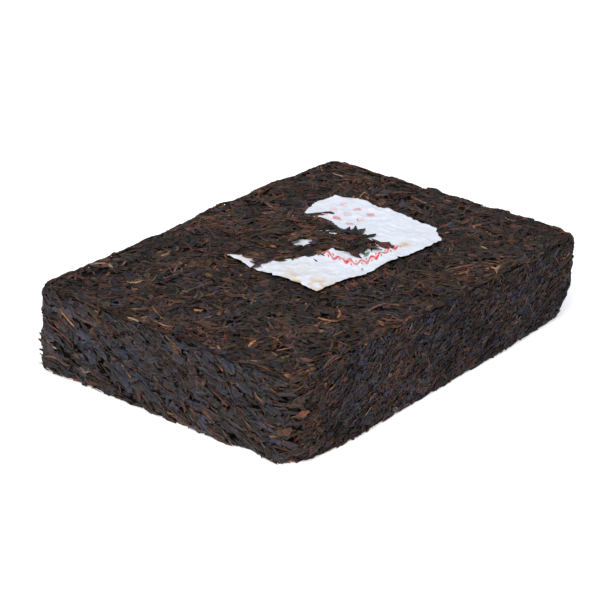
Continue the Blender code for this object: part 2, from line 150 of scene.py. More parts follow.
# Stalks and flakes that stand out by their colour, on the top: x, y, length, width, turn and colour.
TOP_MARKS_MM = (
    (-57.7, -7.0, 8.3, 3.4, -99, "russet"), (-57.9, -25.7, 5.6, 1.5, 13, "gold"),
    (-66.2, -34.4, 5.4, 1.2, -72, "amber"), (-42.3, 2.4, 13.4, 0.9, -114, "russet"),
    (-49.0, 29.3, 5.4, 1.1, -43, "straw"), (-68.4, 11.7, 5.8, 1.3, -91, "straw"),
    (-66.1, 8.5, 5.4, 0.7, 25, "amber"), (-51.4, 1.1, 2.8, 1.6, -58, "gold"),
    (-61.9, 15.2, 5.2, 1.2, -41, "amber"), (-52.8, 25.5, 2.8, 1.4, -39, "amber"),
    (22.5, -40.9, 12.0, 1.0, -1, "amber"), (24.0, -40.3, 5.0, 0.9, -107, "russet"),
    (36.4, -42.9, 9.0, 1.1, -132, "russet"), (29.6, -47.6, 8.0, 1.2, -157, "straw"),
    (53.6, -22.3, 4.6, 1.2, -8, "amber"), (-46.6, 47.6, 6.0, 0.9, -32, "straw"),
    (-44.9, 43.6, 4.4, 1.3, -118, "straw"),
)

# Random values of a noise: an offset for each seed, a prime for each axis, and a factor that mixes the bits.
SEED_OFFSET = 17.137
AXIS_PRIMES = np.array((73856093, 19349663, 83492791))
MIXING_FACTOR = 1274126177
GOLDEN_STEPS = np.array((0.7548776662466927, 0.5698402909980532))  # spreads points evenly over a square

# A leaf's section as shares of its half width and half thickness: over the top from rim to rim, then below.
RIDGED = np.array(((-1.0, 0.0), (-0.55, 0.9), (0.0, 1.0), (0.55, 0.9), (1.0, 0.0), (0.0, -1.0)))
PLAIN = np.array(((-1.0, 0.0), (0.0, 1.0), (1.0, 0.0), (0.0, -1.0)))
# Leaf shapes: limits of their sizes in millimetres, limits of the power that blunts their ends, and how far
# they may bend, arch, twist, fray and crumple.
LeafForm = namedtuple("LeafForm", "section rings length width thickness blunt bend arch twist fray crumple")
FORM_ROWS = {
    "flake": (RIDGED, 5, (2.0, 7.6), (0.9, 2.6), (0.2, 0.45), (0.3, 0.8), 0.12, 0.03, 0.15, 0.4, 0.4),
    "scrap": (RIDGED, 4, (1.4, 4.0), (0.65, 1.5), (0.25, 0.5), (0.25, 0.6), 0.12, 0.04, 0.3, 0.35, 0.45),
    "strip": (PLAIN, 4, (4.0, 11.0), (0.45, 1.1), (0.3, 0.55), (0.3, 0.7), 0.2, 0.03, 0.4, 0.3, 0.35),
    "crumb": (PLAIN, 2, (0.9, 2.8), (0.5, 1.2), (0.25, 0.5), (0.2, 0.6), 0.15, 0.04, 0.5, 0.3, 0.45),
    "wall_flake": (RIDGED, 5, (2.6, 7.2), (1.1, 2.8), (0.5, 1.0), (0.25, 0.6), 0.16, 0.08, 0.4, 0.4, 0.6),
    "wall_strip": (RIDGED, 5, (3.5, 10.0), (0.6, 1.3), (0.5, 0.9), (0.3, 0.7), 0.2, 0.05, 0.7, 0.3, 0.4),
    "cover_leaf": (RIDGED, 6, (4.0, 8.6), (1.3, 2.7), (0.35, 0.7), (0.4, 0.9), 0.16, 0.05, 0.35, 0.35, 0.5),
    "stem": (PLAIN, 6, (4.0, 11.0), (0.45, 0.8), (0.5, 0.8), (0.06, 0.16), 0.1, 0.03, 0.4, 0.08, 0.12),
    "tip": (RIDGED, 5, (2.2, 4.4), (0.6, 1.2), (0.4, 0.7), (0.5, 0.8), 0.25, 0.08, 0.3, 0.1, 0.1),
}
FORMS = {name: LeafForm(*row) for name, row in FORM_ROWS.items()}
LEAF_FILL = 0.75  # a leaf's area over its length times its width
LEAF_ENDS = 0.13  # a leaf's first ring lies at this share of half a turn of a cosine, which spaces its rings
LEAF_SKEW = (0.75, 1.35)  # moves a leaf's widest part back or forth
FRAY_WAVES = (0.8, 2.6)  # waves of a ragged rim along a leaf
VEIN_HEIGHT = (0.2, 1.5)  # height of the middle vein over the blade's
CUP = 0.35  # most that a leaf's sides rise over their width
LEAF_PROUD = 0.3 * MM  # points that would stand further out of the brick are pressed back
PRESSED = 0.2  # to this share of the rest
WARM_REACH = 15 * MM  # leaf is browner round the corner at -X -Y
FRONT_MIDDLE = np.array((38, 0))  # and lighter along the long wall beside it: from the corner, in millimetres
FRONT_REACH = np.array((30, 5))
FRONT_LIGHT = 0.42
CORNER_WARMTH = 0.3
LIGHTEST = 0.55  # most that is added to the logarithm of a leaf's lightness
WARMER = np.array((1.0, 0.1, -0.8))  # how warmth changes the logarithms of red, green and blue
RIM_HIGHLIGHT_SHARE = 0.2  # share of the rim highlight colour on an ordinary leaf's rim, a painted highlight

LEVEL = np.array((0.16, 0.16, 1.0))  # draws noise out to six times its size along the walls
DIP = 0.36  # slope of the layers of leaf, which dip towards the corner at -X -Y
LEDGE_SIZE = 2.6 * MM
CRACK_LEVELS = (0.088, 0.198)  # the ledges' noise at which a crack begins to close, and is closed
CRACK_ROOM = 3.5 * MM  # no cracks so close under the rim
CORE_CRACKS = 1.3 * MM
# Leaves of the side walls, and of the end walls: share of steep ones, how far they sink, and more in a crack.
SIDE_LAYERS = (0.4, 0.2 * MM, 0.4 * MM)
END_LAYERS = (0.2, 0.75 * MM, 3.0 * MM)
PIT_DEPTH = 0.9 * MM  # pits between the leaves of the top
PIT_LEVELS = (-0.55, -0.35)  # noise at which a pit is deepest, and at its rim
RIM_WIDTH = 4 * MM  # so near the top's rim leaves lie along it
EDGE_ROOM = 0.4 * MM  # the middles of leaves keep this far from the edges of a wall or the top
FOOT_SPARE = 0.25 * MM  # the lowest points of leaves are up to this far above the ground
PAPER_SPARE = 0.35 * MM  # and those under the ticket up to this far below the gap

# Sums of value noise: for each part its height, its size in millimetres and its seed. Heights of the surface
# are in millimetres too.
HILLS = ((0.4, 11, 51), (0.3, 4, 52))
HILLS_SINK = 0.2
LEDGE_HEIGHT = 0.35
END_HILLS = ((0.3, 2.2, 54),)
UNEVEN_SIDES, UNEVEN_TOP = 0.55, 0.5  # share of the end walls' unevenness
RIM_HILLS = ((0.7, 5.5, 56), (0.3, 2.5, 57))
CORE_RELIEF = ((0.45, 3, 1), (0.3, 1.3, 2))
LIGHT_PATCHES = ((0.35, 12, 5), (0.5, 5.5, 6), (0.3, 2.4, 8))
FOLDS = ((0.42, 7, 41), (0.2, 2.6, 42))
WRINKLES = ((0.06, 1.1, 46),)
TORN_EDGE = ((1, 4.5, 21), (0.5, 1.4, 22), (0.25, 0.6, 23))
STAIN_BLOTCHES = ((0.9, 1.6, 43), (0.4, 4, 45))


def linear(hex_colour):
    """Turns an sRGB hex colour into linear red, green and blue."""
    parts = [int(hex_colour[i : i + 2], 16) / 255 for i in (1, 3, 5)]
    return tuple(p / 12.92 if p <= 0.04045 else ((p + 0.055) / 1.055) ** 2.4 for p in parts)


def colour_property(name, description, hex_colour):
    """A colour of the sidebar, given as sRGB hex."""
    return bpy.props.FloatVectorProperty(
        name=name, description=description, subtype="COLOR", size=3, min=0, max=1, default=linear(hex_colour)
    )


def length_property(name, description, default):
    """A length of the sidebar, in metres."""
    return bpy.props.FloatProperty(name=name, description=description, default=default, unit="LENGTH")


def angle_property(name, description, degrees):
    """An angle of the sidebar, given in degrees."""
    default = math.radians(degrees)
    return bpy.props.FloatProperty(name=name, description=description, default=default, subtype="ANGLE")


class TeaLeafSettings(bpy.types.PropertyGroup):
    """How much leaf there is and what colours it dried to, with a painted sheen in the slate leaf's
    blue-grey and a painted highlight on the rims.
    """

    layers: bpy.props.FloatProperty(
        name="Layers", description="Scales how many leaves deep every surface is", default=1.0, min=0.1, max=2
    )
    size_scale: bpy.props.FloatProperty(
        name="Leaf size", description="Scale of every leaf", default=1.0, min=0.5, max=2, subtype="FACTOR"
    )
    core_depth: length_property("Core depth", "Depth of the core under the wall's leaves", 1.5 * MM)
    black: colour_property("Black leaf", "Fully cured leaf", "#1d1613")
    # Dark leaf colour whose blue-grey stands partly for a painted sheen of the sky on the leaves
    slate_sheen: colour_property("Slate leaf", "Dark leaf whose blue-grey is partly painted sheen", "#28272f")
    umber: colour_property("Umber leaf", "Ordinary brown leaf", "#36271d")
    russet: colour_property("Russet leaf", "Red-brown leaf", "#4c3127")
    amber: colour_property("Amber leaf", "Orange-brown bits", "#70503c")
    straw: colour_property("Straw", "Pale stalk", "#8f7860")
    gold: colour_property("Golden tip", "Dried bud", "#a8784a")
    # Lighter colour laid along the rims of leaves: a painted highlight
    rim_highlight: colour_property("Rim highlight", "Painted highlight along the rims of leaves", "#8a7260")


class PaperTicketSettings(bpy.types.PropertyGroup):
    """The torn ticket and its print."""

    thickness: length_property("Thickness", "Paper thickness, drawn a little thick", 0.14 * MM)
    wave: length_property("Wave", "Height of the paper's waves, as in the solid", 0.35 * MM)
    curl: length_property("Curl", "Lift of the ticket's edges, most at the front", 0.4 * MM)
    tear: length_property("Tear", "Depth of the ragged edge", 0.7 * MM)
    paper: colour_property("Paper", "Bleached paper", "#dfe5ee")
    stain: colour_property("Tea stain", "Where tea has soaked in", "#d3b28c")
    red_ink: colour_property("Red ink", "Printed lines", "#d8363a")
    green_ink: colour_property("Green ink", "Printed leaf", "#3f7a52")


class StudioSettings(bpy.types.PropertyGroup):
    """Camera, light and floor."""

    azimuth: angle_property("Azimuth", "Camera's angle round the brick", -49.35)
    elevation: angle_property("Elevation", "Camera's angle above the floor", 24.4)
    distance: length_property("Distance", "From the camera to its aim", 0.78)
    lens: bpy.props.FloatProperty(
        name="Lens", description="Focal length in millimetres on a 36 mm sensor", default=151.6, min=20
    )
    aim: bpy.props.FloatVectorProperty(
        name="Aim", description="Point in the middle of the view", subtype="TRANSLATION", size=3,
        default=(-0.0030, 0.0035, 0.0137),
    )
    sky: bpy.props.FloatProperty(name="Sky", description="Strength of the even light", default=0.6, min=0)
    key: bpy.props.FloatProperty(name="Key", description="Watts of the large lamp", default=24.0, min=0)


def settings(context, group):
    """One group of the sidebar's settings."""
    return getattr(context.scene, group)


# Shapes shared by the pieces.


def value_noise(points, size, seed):
    """Smooth random heights from -1 to 1: random values at the corners of cubes of that size, with the smooth
    cubic step between them."""
    at = np.asarray(points, float) / size + seed * SEED_OFFSET
    cell = np.floor(at).astype(np.int64)
    part = at - cell
    part = part * part * (3 - 2 * part)
    total = np.zeros(at.shape[:-1])
    for corner in np.ndindex(*(2,) * at.shape[-1]):
        key = (cell + corner) @ AXIS_PRIMES[: at.shape[-1]]
        key = (key ^ (key >> 13)) * MIXING_FACTOR
        value = ((key ^ (key >> 16)) & 0xFFFF) / 0xFFFF * 2 - 1
        total += value * np.where(corner, part, 1 - part).prod(axis=-1)
    return total


def noise_sum(points, parts):
    """Value noise of several sizes, added up from a table of heights, sizes in millimetres and seeds."""
    return sum(height * value_noise(points, size * MM, seed) for height, size, seed in parts)


def along_line(line, shares):
    """Points at shares of the way along a line of points, and the line's length."""
    along = np.concatenate(((0,), np.cumsum(np.linalg.norm(np.diff(line, axis=0), axis=1))))
    at = np.asarray(shares) * along[-1]
    return np.stack([np.interp(at, along, line[:, k]) for k in (0, 1)], axis=-1), along[-1]


def to_block(points):
    """The nearest point of the rounded block and the normal there.

    From above the block is a rectangle with a rounded corner in each quarter, so the distance to its outline
    is that to an inner rectangle less the corner's radius. Distance past the outline and height past the
    rim, each less the rim's rounding, then give the distance to the block in the same way.
    """
    x, y, z = points[..., 0], points[..., 1], points[..., 2]
    radius = np.zeros(x.shape)
    for (sign_x, sign_y), value in CORNER_RADII.items():
        radius[(x * sign_x >= 0) & (y * sign_y >= 0)] = value
    over_x = np.abs(x) - (HALF[0] - radius)
    over_y = np.abs(y) - (HALF[1] - radius)
    corner = (over_x > 0) & (over_y > 0)
    reach = np.where(corner, np.hypot(over_x, over_y), np.maximum(over_x, over_y))
    safe = np.where(corner, reach, 1)
    out_x = np.sign(x) * np.where(corner, over_x / safe, over_x >= over_y)
    out_y = np.sign(y) * np.where(corner, over_y / safe, over_x < over_y)
    upper = z > TOP / 2
    rounding = np.where(upper, TOP_ROUND, FOOT_ROUND)
    past_wall = reach - radius + rounding
    past_end = np.where(upper, z - TOP, -z) + rounding
    rim = (past_wall > 0) & (past_end > 0)
    far = np.where(rim, np.hypot(past_wall, past_end), np.maximum(past_wall, past_end))
    safe = np.where(rim, far, 1)
    outward = np.where(rim, past_wall / safe, past_wall >= past_end)
    upward = np.where(rim, past_end / safe, past_wall < past_end) * np.where(upper, 1, -1)
    normal = np.stack((out_x * outward, out_y * outward, upward), axis=-1)
    return points - normal * (far - rounding)[..., None], normal


def ledges(points):
    """Value noise sheared to the layers' dip, in cells 16 mm long and 2.6 mm high."""
    sheared = points * LEVEL
    sheared[..., 2] -= DIP * (points[..., 0] + points[..., 1])
    return value_noise(sheared, LEDGE_SIZE, 53)


def cracks(points):
    """Long thin gaps between the layers, from 0 to 1, where the ledges' noise passes through zero."""
    return np.interp(np.abs(ledges(points)), CRACK_LEVELS, (1, 0))


def bed_surface(points):
    """The block's surface and normal, swollen and sunk by value noise as pressing left it.

    The noise is strongest on the end walls, less on the side walls and the top, and nothing on the base. The
    rim of the top has more of its own, and so do the upright corners at -X.
    """
    surface, normal = to_block(points)
    ends, sides = np.abs(normal[..., 0]), np.abs(normal[..., 1])
    upward = np.maximum(normal[..., 2], 0)
    hills = noise_sum(surface, HILLS) - HILLS_SINK
    hills += ends * (LEDGE_HEIGHT * ledges(surface) + noise_sum(surface, END_HILLS))
    hills *= np.minimum(ends + UNEVEN_SIDES * sides + UNEVEN_TOP * upward, 1)
    hills += 2 * np.hypot(ends, sides) * upward * (noise_sum(surface, RIM_HILLS) - 0.1)
    hills += np.maximum(-normal[..., 0], 0) * sides * value_noise(surface * LEVEL, 1.3 * MM, 58)
    return surface + normal * (hills * MM)[..., None], normal


def wear_down(points):
    """Moves points by every wear: a bell curve along the wall times one across it, times a power of the
    share of the height that is left above, or below."""
    worn = points.copy()
    height = np.clip(points[..., 2] / TOP, 0, 1)
    for spot in WEAR:
        way = np.array(spot.way)
        offset = points[..., :2] - np.array((spot.x, spot.y)) * MM
        across = offset @ way[:2] / (spot.across * MM)
        along = offset @ (-way[1], way[0]) / (spot.along * MM)
        fade = (1 - height) ** spot.power if spot.power > 0 else height ** -spot.power
        worn += (spot.depth * MM * np.exp(-(across**2) - along**2) * fade)[..., None] * way
    return worn


def wall_line(shares):
    """Points of the block's outline at shares of the way round it, anticlockwise, from quarter arcs."""
    turns = np.linspace(0, math.pi / 2, 33)
    corners = []
    for i, sign in enumerate(((-1, -1), (1, -1), (1, 1), (-1, 1))):
        radius = CORNER_RADII[sign]
        centre = np.array(sign) * (HALF - radius)
        angle = math.pi * (1 + i / 2) + turns
        corners.append(centre + radius * np.stack((np.cos(angle), np.sin(angle)), axis=1))
    return along_line(np.concatenate((*corners, corners[0][:1])), shares)[0]


def ticket_outline():
    """The ticket's corners in metres, moved so that their box is centred as the solid ticket's is."""
    corners = np.array(TICKET_OUTLINE_MM) * MM
    low, high = map(np.array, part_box("paper_ticket"))
    return corners + (low + high)[:2] / 2 - (corners.min(axis=0) + corners.max(axis=0)) / 2


def in_outline(points, outline):
    """How far points lie inside a closed outline, negative outside: the least distance to its sides, with a
    sign from how often a level line from the point crosses them."""
    points = points[..., None, :]
    start = outline
    side = np.roll(outline, -1, axis=0) - start
    along = ((points - start) * side).sum(axis=-1) / (side * side).sum(axis=-1)
    near = start + np.clip(along, 0, 1)[..., None] * side
    distance = np.linalg.norm(points - near, axis=-1).min(axis=-1)
    y = points[..., 1]
    crosses = (start[:, 1] > y) != (start[:, 1] + side[:, 1] > y)
    height = np.where(side[:, 1] == 0, 1, side[:, 1])
    meets = start[:, 0] + (y - start[:, 1]) / height * side[:, 0]
    inside = (crosses & (points[..., 0] < meets)).sum(axis=-1) % 2 == 1
    return np.where(inside, distance, -distance)


def ticket_height(points):
    """Height of the ticket's middle: the same sum of two slanting sine waves as in the solid, and a rippled
    curl along its front edge that dies away inwards."""
    ticket = settings(bpy.context, "paper_ticket")
    turn = 2 * math.pi / TICKET_WAVE_LENGTH
    x, y = points[..., 0], points[..., 1]
    waves = 0.5 * (np.sin(turn * (x + 0.35 * y)) + np.sin(turn * (0.6 * y - 0.4 * x) + 1.1))
    inside = np.maximum(in_outline(points[..., :2], ticket_outline()), 0)
    towards_front = np.clip(0.4 - y / (40 * MM), 0.1, 1)
    ripple = 1 + 0.9 * np.cos(2 * math.pi * (x - CURL_CREST) / CURL_RIPPLES)
    curl = ticket.curl * towards_front * ripple * np.exp(-inside / CURL_REACH)
    return TICKET_LEVEL + ticket.wave * waves + curl


def spread(count, seed):
    """Evenly spread points of the unit square, by steps of two irrational shares."""
    return (seed * 0.137 + np.arange(1, count + 1)[:, None] * GOLDEN_STEPS) % 1


# Meshes, materials and the leaves.


def new_object(name, data):
    """An object with that data, in the scene."""
    made = bpy.data.objects.new(name, data)
    bpy.context.scene.collection.objects.link(made)
    return made


def new_piece(name, vertices, triangles, material, attributes=(), replaced=None):
    """A smooth mesh object at the origin, with point attributes, that rides on the brick's one body."""
    mesh = bpy.data.meshes.new(name)
    mesh.vertices.add(len(vertices))
    mesh.vertices.foreach_set("co", np.ascontiguousarray(vertices, np.float32).ravel())
    mesh.loops.add(triangles.size)
    mesh.loops.foreach_set("vertex_index", np.ascontiguousarray(triangles, np.int32).ravel())
    mesh.polygons.add(len(triangles))
    mesh.polygons.foreach_set("loop_start", np.arange(0, triangles.size, 3, dtype=np.int32))
    mesh.update(calc_edges=True)
    mesh.shade_smooth()
    for title, values in dict(attributes).items():
        kind, field = {3: ("FLOAT_VECTOR", "vector"), 4: ("FLOAT_COLOR", "color")}[values.shape[-1]]
        layer = mesh.attributes.new(title, kind, "POINT")
        layer.data.foreach_set(field, np.ascontiguousarray(values, np.float32).ravel())
    mesh.materials.append(material)
    made = new_object(name, mesh)
    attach(made, "root")
    if replaced:
        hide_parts(replaced)
    return made


def add(tree, kind, inputs=(), **values):
    """Adds a node: values set its properties, and inputs its sockets, with constants or other nodes'
    outputs."""
    made = tree.nodes.new(kind)
    for title, value in values.items():
        setattr(made, title, value)
    for socket, value in dict(inputs).items():
        if isinstance(value, bpy.types.NodeSocket):
            tree.links.new(value, made.inputs[socket])
        else:
            made.inputs[socket].default_value = value
    return made


def new_material(name):
    """An empty node material and its tree."""
    made = bpy.data.materials.get(name) or bpy.data.materials.new(name)
    made.use_nodes = True
    made.node_tree.nodes.clear()
    return made, made.node_tree


def finish_material(made, inputs):
    """Adds the Principled shader with its inputs, and the material's output."""
    shader = add(made.node_tree, "ShaderNodeBsdfPrincipled", inputs)
    add(made.node_tree, "ShaderNodeOutputMaterial", {"Surface": shader.outputs["BSDF"]})
    return made


def leaf_material(name, grain_mm, mottle_mm, mottle, roughness, specular):
    """Cured leaf: its own tint, mottled in hue and lightness and lighter and darker along the veins, which
    also stand out of it, with fine pores that vary its gloss."""
    made, tree = new_material(name)
    tint = add(tree, "ShaderNodeAttribute", attribute_name="leaf_tint")
    grain = add(tree, "ShaderNodeAttribute", attribute_name="leaf_grain")
    scale = [1 / (size * MM) for size in grain_mm]
    grain = add(tree, "ShaderNodeMapping", {"Vector": grain.outputs["Vector"], "Scale": scale})
    veins = add(tree, "ShaderNodeTexNoise", {"Vector": grain.outputs[0], "Scale": 1.0, "Detail": 3.0})
    place = add(tree, "ShaderNodeTexCoord").outputs["Object"]
    blotches, pores = (
        add(tree, "ShaderNodeTexNoise", {"Vector": place, "Scale": 1 / (size * MM), "Detail": detail})
        for size, detail in ((mottle_mm, 3.0), (0.5, 2.0))
    )
    limits = {9: (1 - mottle,) * 3, 10: (1 + mottle,) * 3}
    hue = add(
        tree, "ShaderNodeMapRange", {"Vector": blotches.outputs["Color"], **limits}, data_type="FLOAT_VECTOR"
    )
    mixed = {0: tint.outputs["Color"], 1: hue.outputs["Vector"]}
    base = add(tree, "ShaderNodeVectorMath", mixed, operation="MULTIPLY")
    for pattern, low, high in ((veins, 0.5, 1.5), (blotches, 0.1, 1.9)):
        limits = {"To Min": low, "To Max": high}
        shade = add(tree, "ShaderNodeMapRange", {"Value": pattern.outputs["Fac"], **limits})
        scaled = {0: base.outputs[0], "Scale": shade.outputs["Result"]}
        base = add(tree, "ShaderNodeVectorMath", scaled, operation="SCALE")
    limits = dict(zip(("To Min", "To Max"), roughness))
    gloss = add(tree, "ShaderNodeMapRange", {"Value": pores.outputs["Fac"], **limits})
    coarse = {"Height": veins.outputs["Fac"], "Distance": 0.12 * MM, "Strength": 0.8}
    fine = {"Height": pores.outputs["Fac"], "Distance": 0.06 * MM, "Strength": 0.7}
    relief = add(tree, "ShaderNodeBump", coarse)
    relief = add(tree, "ShaderNodeBump", {"Normal": relief.outputs[0], **fine})
    surface = {"Base Color": base.outputs[0], "Normal": relief.outputs[0]}
    gloss = {"Roughness": gloss.outputs["Result"], "Specular IOR Level": specular}
    return finish_material(made, {**surface, **gloss})


def cured_leaf():
    """Tea leaf, wet-piled, steamed and pressed: it dries near black, faintly glossy, with fine veins."""
    return leaf_material("cured tea leaf, steamed and pressed", (2.4, 0.4, 1.0), 1.5, 0.95, (0.45, 0.7), 0.2)


def glossy_leaf():
    """Whole leaf of the same tea, slid along the mould's ends as it was pressed: smoother and glossier."""
    return leaf_material("cured tea leaf, pressed smooth", (2.4, 0.4, 1.0), 0.9, 0.95, (0.42, 0.65), 0.28)


def broken_leaf():
    """Broken leaf of the same tea, pressed against the mould's long sides: speckled and more matt."""
    return leaf_material(
        "broken tea leaf, steamed and pressed", (1.0, 0.4, 1.0), 0.6, 0.95, (0.55, 0.8), 0.15
    )


def woody_stem():
    """Leaf stalk, dried: straw to brown wood with fibres along it and almost no gloss."""
    return leaf_material("tea stalk, dried", (3.0, 0.3, 1.0), 1.6, 0.35, (0.6, 0.8), 0.2)


def crevice_dust_and_shade():
    """Tea dust packed between the leaves: black-brown and quite dull, and darker than any leaf as painted
    shade, so that gaps read as dark.
    """
    made, tree = new_material("tea dust, packed and painted dark as shade")
    place = add(tree, "ShaderNodeTexCoord").outputs["Object"]
    grit = add(tree, "ShaderNodeTexNoise", {"Vector": place, "Scale": 1 / (0.6 * MM), "Detail": 3.0})
    # Painted shade: both tones lie below the blackest leaf, so the gaps between leaves read as shaded.
    tones = {"Factor": grit.outputs["Fac"], 6: (*linear("#0c0908"), 1), 7: (*linear("#1c1512"), 1)}
    tone = add(tree, "ShaderNodeMix", tones, data_type="RGBA")
    relief = add(tree, "ShaderNodeBump", {"Height": grit.outputs["Fac"], "Distance": 0.3 * MM})
    surface = {"Base Color": tone.outputs[2], "Normal": relief.outputs[0]}
    return finish_material(made, {**surface, "Roughness": 0.9, "Specular IOR Level": 0.1})


def rag_paper():
    """Thin bleached paper, machine-made and printed: white with faint fibres, matt, its ink worn."""
    made, tree = new_material("thin paper, machine-made and printed")
    tint = add(tree, "ShaderNodeAttribute", attribute_name="paper_tint")
    place = add(tree, "ShaderNodeTexCoord").outputs["Object"]
    fibre = add(tree, "ShaderNodeTexNoise", {"Vector": place, "Scale": 1 / (0.9 * MM), "Detail": 4.0})
    shade = add(tree, "ShaderNodeMapRange", {"Value": fibre.outputs["Fac"], "To Min": 0.88, "To Max": 1.12})
    scaled = {0: tint.outputs["Color"], "Scale": shade.outputs["Result"]}
    base = add(tree, "ShaderNodeVectorMath", scaled, operation="SCALE")
    height = {"Height": fibre.outputs["Fac"], "Distance": 0.12 * MM, "Strength": 0.6}
    relief = add(tree, "ShaderNodeBump", height)
    surface = {"Base Color": base.outputs[0], "Normal": relief.outputs[0]}
    return finish_material(made, {**surface, "Roughness": 0.75, "Specular IOR Level": 0.25})


def leaf_sizes(rng, count, form):
    """Length, width and thickness of each leaf, drawn between the form's limits, in metres."""
    scale = settings(bpy.context, "tea_leaf").size_scale
    return [rng.uniform(*limits, count) * MM * scale for limits in (form.length, form.width, form.thickness)]


def leaf_shapes(rng, sizes, form):
    """Closed leaf shapes along X round the origin, as count by vertices by 3, with their grain coordinates.

    The half width is a power of a half sine wave along the leaf, so that ends run from pointed to blunt,
    ragged by waves of either rim. The section is crumpled a little at random and its sides rise or fall. It
    is then turned about the leaf's line and carried along one parabola in the plane and another out of it.
    """
    count = len(sizes[0])
    length, width, thickness = (size[:, None, None] for size in sizes)
    blunt = rng.uniform(*form.blunt, (count, 1, 1))
    skew = rng.uniform(*LEAF_SKEW, (count, 1, 1))
    along = (0.5 - 0.5 * np.cos(np.pi * np.linspace(LEAF_ENDS, 1 - LEAF_ENDS, form.rings)))[None, :, None]
    across, height = form.section.T[:, None, None, :]
    swell = np.sin(np.pi * along**skew)
    waves = rng.uniform(*FRAY_WAVES, (2, count, 1, 1))
    starts = rng.uniform(0, 2 * np.pi, (2, count, 1, 1))
    left, right = np.sin(2 * np.pi * waves * along + starts)
    fray = 1 + form.fray * np.where(across < 0, left, right)
    y = width / 2 * swell**blunt * fray * across
    vein = rng.uniform(*VEIN_HEIGHT, (count, 1, 1))
    z = thickness / 2 * swell**0.5 * height * np.where((across == 0) & (height > 0), vein, 1)
    crumple = form.crumple * thickness * rng.uniform(-0.5, 0.5, (count, form.rings, len(form.section)))
    z = z + crumple + rng.uniform(-CUP, CUP, (count, 1, 1)) * np.abs(y)
    y = y + crumple * 0.7
    turn = rng.uniform(-1, 1, (count, 1, 1)) * form.twist * (along - 0.5) * np.pi
    y, z = y * np.cos(turn) - z * np.sin(turn), y * np.sin(turn) + z * np.cos(turn)
    arc = (along - 0.5) ** 2 - 0.08
    y = y + rng.uniform(-1, 1, (count, 1, 1)) * form.bend * 4 * length * arc
    z = z + rng.uniform(-1, 1, (count, 1, 1)) * form.arch * 4 * length * arc
    x = np.broadcast_to((along - 0.5) * length, y.shape)
    rings = np.stack((x, y, z), axis=-1)
    ends = rings[:, (0, -1)].mean(axis=2)
    ends[:, 0, 0] = -length[:, 0, 0] * 0.5
    ends[:, 1, 0] = length[:, 0, 0] * 0.5
    shapes = np.concatenate((rings.reshape(count, -1, 3), ends), axis=1)
    grain = shapes.copy()
    grain[..., 2] = rng.uniform(-1, 1, (count, 1))
    # weight of each point's rim, for the painted highlight along it
    rim = np.tile(np.abs(form.section[:, 0]) ** 4, form.rings)
    return shapes, grain, np.concatenate((rim, (1, 1)))


def grid_triangles(rings, sides, closed=True):
    """Vertex numbers of two triangles for each cell between rings, which may close on themselves."""
    i, j = np.meshgrid(np.arange(rings - 1), np.arange(sides if closed else sides - 1), indexing="ij")
    after = (j + 1) % sides
    a, b, c, d = i * sides + j, (i + 1) * sides + j, (i + 1) * sides + after, i * sides + after
    halves = [np.stack(half, axis=-1).reshape(-1, 3) for half in ((a, b, c), (a, c, d))]
    return np.concatenate(halves)


def tube_triangles(count, rings, sides):
    """Vertex numbers of each tube's triangles: bands between rings, and fans round its last two vertices."""
    side, after = np.arange(sides), np.roll(np.arange(sides), -1)
    first, last = rings * sides, (rings - 1) * sides
    start = np.stack((np.full(sides, first), side, after), axis=-1)
    end = np.stack((last + side, np.full(sides, first + 1), last + after), axis=-1)
    one = np.concatenate((grid_triangles(rings, sides), start, end))
    return (one[None] + np.arange(count)[:, None, None] * (rings * sides + 2)).reshape(-1, 3)


def leaf_tints(rng, count, leaf, shares, centres):
    """A colour for each leaf: drawn from the palette by its shares, then warmer or cooler and lighter or
    darker by patches of the brick, and lighter or darker singly."""
    palette = np.array([getattr(leaf, name) for name in shares])
    weights = np.array(list(shares.values()), float)
    tints = palette[rng.choice(len(palette), count, p=weights / weights.sum())]
    light = noise_sum(centres, LIGHT_PATCHES)
    side = ((centres[:, :2] + HALF) / MM - FRONT_MIDDLE) / FRONT_REACH
    light += FRONT_LIGHT * np.exp(-(side**2).sum(axis=1))
    warm = 0.24 * value_noise(centres, 10 * MM, 7) + rng.normal(0, 0.18, count)
    away = np.linalg.norm(centres[:, :2] + HALF, axis=1) / WARM_REACH
    warm += CORNER_WARMTH * np.exp(-(away**2))
    tints = tints * np.exp(warm[:, None] * WARMER)
    return tints * np.exp(np.minimum(light + rng.normal(0, 0.17, count), LIGHTEST))[:, None]


# Where leaves lie: their centres, two directions in the surface, turn, lift from it, and scale.
Bed = namedtuple("Bed", "centres first second heading lift scale")


def pick(bed, keep):
    """The places of a bed that a mask keeps."""
    return Bed(*(part[keep] for part in bed))


def level_bed(x, y, heading, lift, height=TOP, facing=1):
    """Places on the top, or on the base, where they face down."""
    count = len(x)
    first, second = np.tile((1.0, 0.0, 0.0), (count, 1)), np.tile((0.0, float(facing), 0.0), (count, 1))
    centres = np.column_stack((x, y, np.full(count, height)))
    return Bed(centres, first, second, heading, np.broadcast_to(lift, count), np.ones(count))


def leaf_count(form, area, layers, scale=1.0):
    """How many leaves of a form cover an area that many layers deep."""
    one = np.mean(FORMS[form].length) * np.mean(FORMS[form].width) * LEAF_FILL * (MM * scale) ** 2
    return int(layers * settings(bpy.context, "tea_leaf").layers * area / one)


